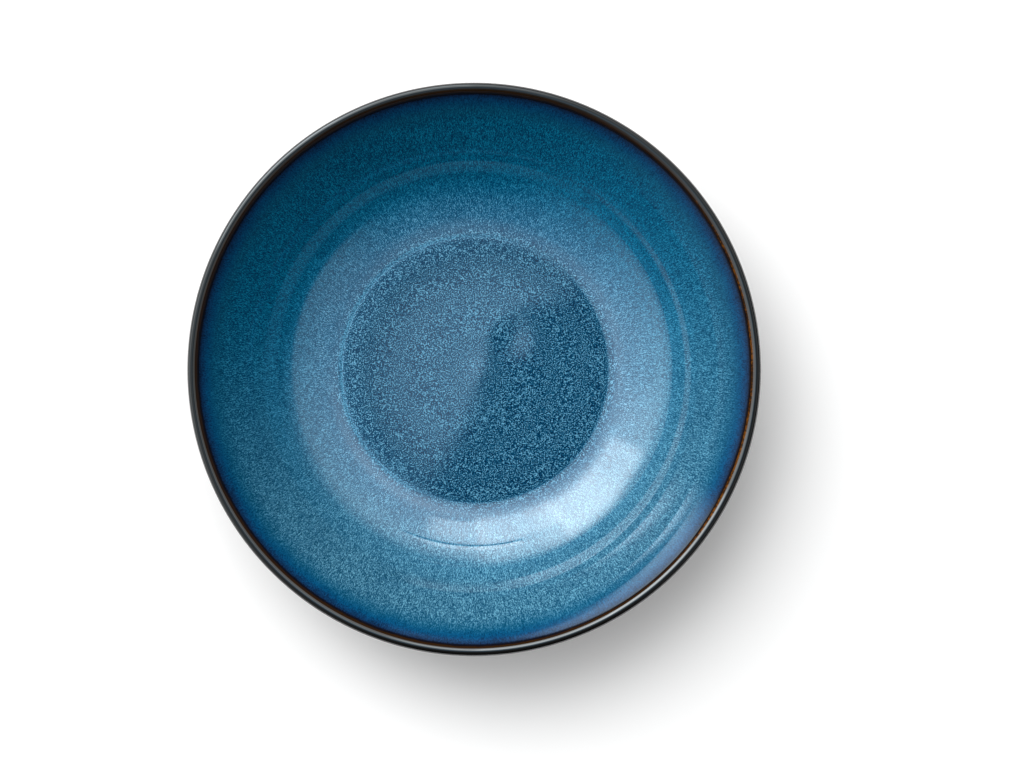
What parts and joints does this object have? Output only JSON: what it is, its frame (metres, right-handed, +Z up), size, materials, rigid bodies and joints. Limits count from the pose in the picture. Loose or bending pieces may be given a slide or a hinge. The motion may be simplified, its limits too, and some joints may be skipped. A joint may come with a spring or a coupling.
{
  "type": "salad bowl",
  "caption": "Wide stoneware salad bowl with a domed well, straight flared wall and rounded lip, blue reactive glaze inside, dark glaze outside and a bare foot ring.",
  "frame": {"origin": "centre of the circle on which the foot ring stands, on the table", "axes": "+Z up along the axis of the bowl; X and Y are free, because the bowl is round"},
  "size_m": [0.24, 0.24, 0.053],
  "materials": {
    "stoneware": "bare fired stoneware, fine grain",
    "blue_glaze": "glossy mottled teal-blue reactive glaze",
    "rim_glaze": "glossy dark brown, amber at its inner line",
    "dark_glaze": "satin brown-black glaze"
  },
  "bodies": {
    "root": {"stoneware_body": "stoneware", "inside_glaze": "blue_glaze", "rim_glaze": "rim_glaze", "outside_glaze": "dark_glaze", "base_glaze": "dark_glaze"}
  },
  "joints": []
}
